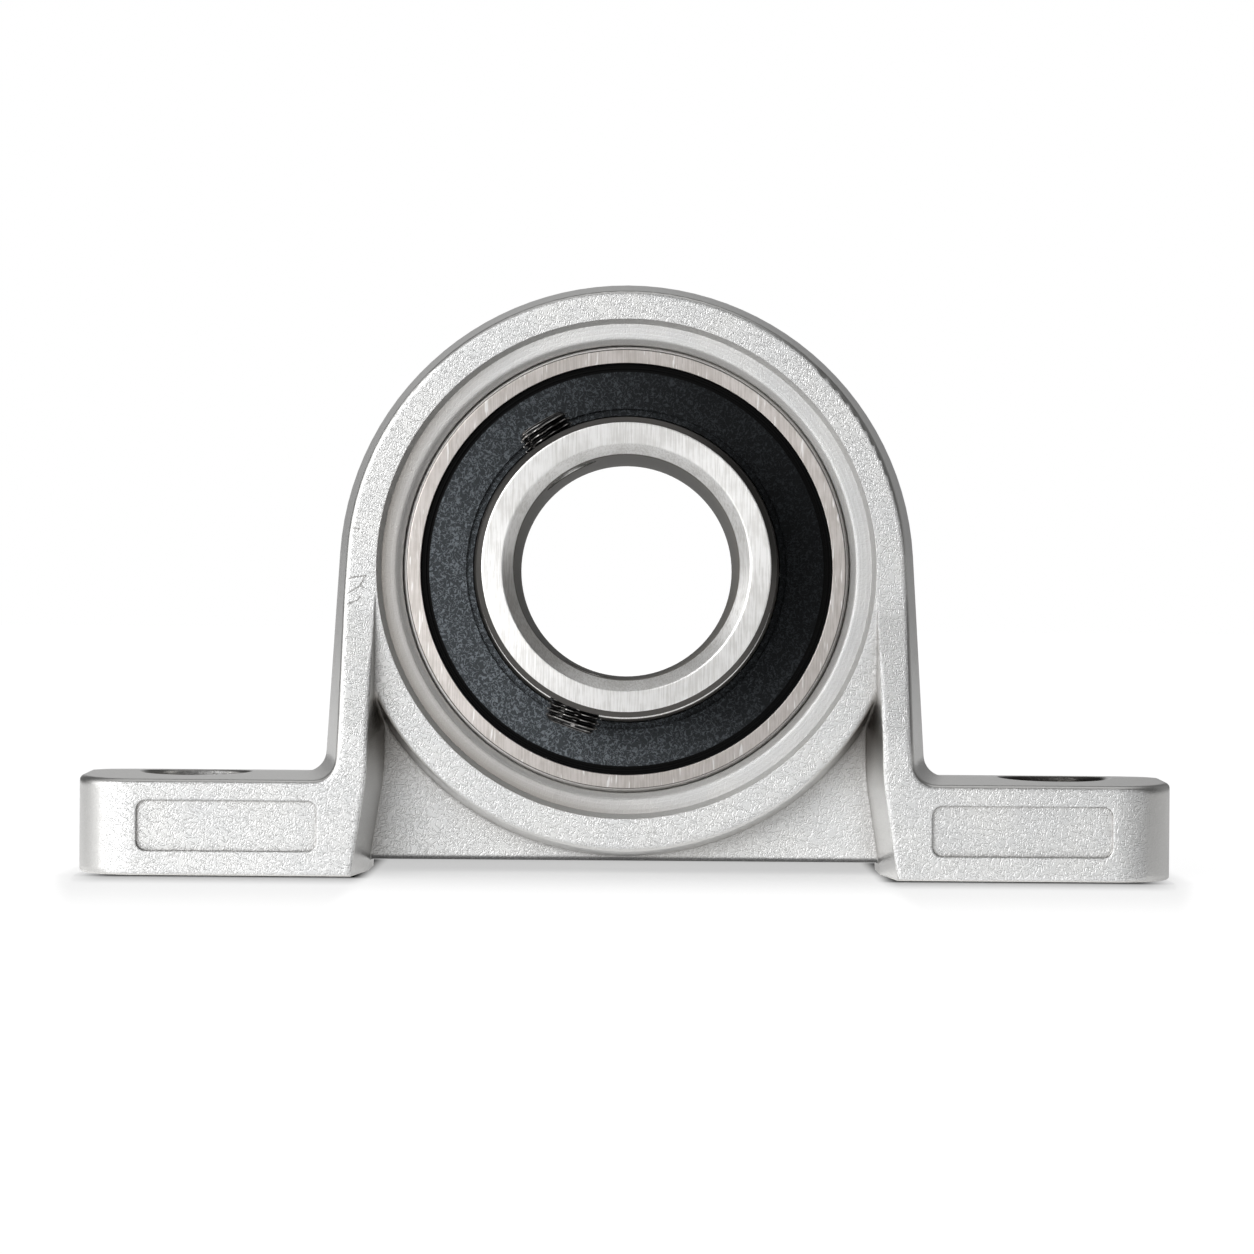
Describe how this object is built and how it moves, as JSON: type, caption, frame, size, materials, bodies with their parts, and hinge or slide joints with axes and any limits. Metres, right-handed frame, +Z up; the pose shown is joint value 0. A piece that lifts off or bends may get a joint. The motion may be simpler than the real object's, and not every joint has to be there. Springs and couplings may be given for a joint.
{
  "type": "pillow block bearing",
  "caption": "Cast pillow block with two bolted feet that carries a self-aligning insert ball bearing with a set-screw collar.",
  "frame": {"origin": "on the base plane, midway between the two bolt holes and under the centre plane of the spherical seat", "axes": "+X along the base, through both bolt holes; +Z up, away from the mounting surface; the shaft lies along Y, with the set-screw collar towards -Y"},
  "size_m": [0.1, 0.025, 0.0546],
  "materials": {
    "cast_zinc": "satin",
    "ground_steel": "satin",
    "polished_steel": "gloss",
    "pressed_steel": "satin",
    "black_rubber": "matte",
    "black_oxide": "satin"
  },
  "bodies": {
    "block": {"housing": "cast_zinc"},
    "insert": {"outer_ring": "ground_steel", "front_seal_rubber": "black_rubber", "front_seal_core": "pressed_steel", "rear_seal_rubber": "black_rubber", "rear_seal_core": "pressed_steel"},
    "shaft_ring": {"inner_ring": "ground_steel"},
    "cage": {"cage_front": "pressed_steel", "cage_rear": "pressed_steel", "cage_rivets": "pressed_steel"},
    "ball_1": {"ball_1": "polished_steel"},
    "ball_2": {"ball_2": "polished_steel"},
    "ball_3": {"ball_3": "polished_steel"},
    "ball_4": {"ball_4": "polished_steel"},
    "ball_5": {"ball_5": "polished_steel"},
    "ball_6": {"ball_6": "polished_steel"},
    "ball_7": {"ball_7": "polished_steel"},
    "ball_8": {"ball_8": "polished_steel"},
    "ball_9": {"ball_9": "polished_steel"},
    "set_screw_1": {"set_screw_1": "black_oxide"},
    "set_screw_2": {"set_screw_2": "black_oxide"}
  },
  "joints": [
    {"name": "insert_align", "type": "hinge", "parent": "block", "child": "insert", "pos_m": [0, 0, 0.028], "axis": [1, 0, 0], "range_deg": [-3, 3]},
    {"name": "ring_spin", "type": "hinge", "parent": "insert", "child": "shaft_ring", "pos_m": [0, 0, 0.028], "axis": [0, 1, 0], "continuous": true},
    {"name": "cage_spin", "type": "hinge", "parent": "insert", "child": "cage", "pos_m": [0, 0, 0.028], "axis": [0, 1, 0], "continuous": true},
    {"name": "ball_1_spin", "type": "hinge", "parent": "cage", "child": "ball_1", "pos_m": [0, 0, 0.0435], "axis": [0, 1, 0], "continuous": true},
    {"name": "ball_2_spin", "type": "hinge", "parent": "cage", "child": "ball_2", "pos_m": [-0.00996, 0, 0.03987], "axis": [0, 1, 0], "continuous": true},
    {"name": "ball_3_spin", "type": "hinge", "parent": "cage", "child": "ball_3", "pos_m": [-0.01526, 0, 0.03069], "axis": [0, 1, 0], "continuous": true},
    {"name": "ball_4_spin", "type": "hinge", "parent": "cage", "child": "ball_4", "pos_m": [-0.01342, 0, 0.02025], "axis": [0, 1, 0], "continuous": true},
    {"name": "ball_5_spin", "type": "hinge", "parent": "cage", "child": "ball_5", "pos_m": [-0.0053, 0, 0.01343], "axis": [0, 1, 0], "continuous": true},
    {"name": "ball_6_spin", "type": "hinge", "parent": "cage", "child": "ball_6", "pos_m": [0.0053, 0, 0.01343], "axis": [0, 1, 0], "continuous": true},
    {"name": "ball_7_spin", "type": "hinge", "parent": "cage", "child": "ball_7", "pos_m": [0.01342, 0, 0.02025], "axis": [0, 1, 0], "continuous": true},
    {"name": "ball_8_spin", "type": "hinge", "parent": "cage", "child": "ball_8", "pos_m": [0.01526, 0, 0.03069], "axis": [0, 1, 0], "continuous": true},
    {"name": "ball_9_spin", "type": "hinge", "parent": "cage", "child": "ball_9", "pos_m": [0.00996, 0, 0.03987], "axis": [0, 1, 0], "continuous": true},
    {"name": "set_screw_1_travel", "type": "slide", "parent": "shaft_ring", "child": "set_screw_1", "axis": [-0.515, 0, 0.8572], "range_m": [-0.0002, 0.0018]},
    {"name": "set_screw_2_travel", "type": "slide", "parent": "shaft_ring", "child": "set_screw_2", "axis": [-0.3338, 0, -0.9426], "range_m": [-0.0002, 0.0018]}
  ],
  "couplings": [
    {"joint": "cage_spin", "follows": "ring_spin", "ratio": 0.39758},
    {"joint": "ball_1_spin", "follows": "ring_spin", "ratio": -2.3385},
    {"joint": "ball_2_spin", "follows": "ring_spin", "ratio": -2.3385},
    {"joint": "ball_3_spin", "follows": "ring_spin", "ratio": -2.3385},
    {"joint": "ball_4_spin", "follows": "ring_spin", "ratio": -2.3385},
    {"joint": "ball_5_spin", "follows": "ring_spin", "ratio": -2.3385},
    {"joint": "ball_6_spin", "follows": "ring_spin", "ratio": -2.3385},
    {"joint": "ball_7_spin", "follows": "ring_spin", "ratio": -2.3385},
    {"joint": "ball_8_spin", "follows": "ring_spin", "ratio": -2.3385},
    {"joint": "ball_9_spin", "follows": "ring_spin", "ratio": -2.3385}
  ]
}
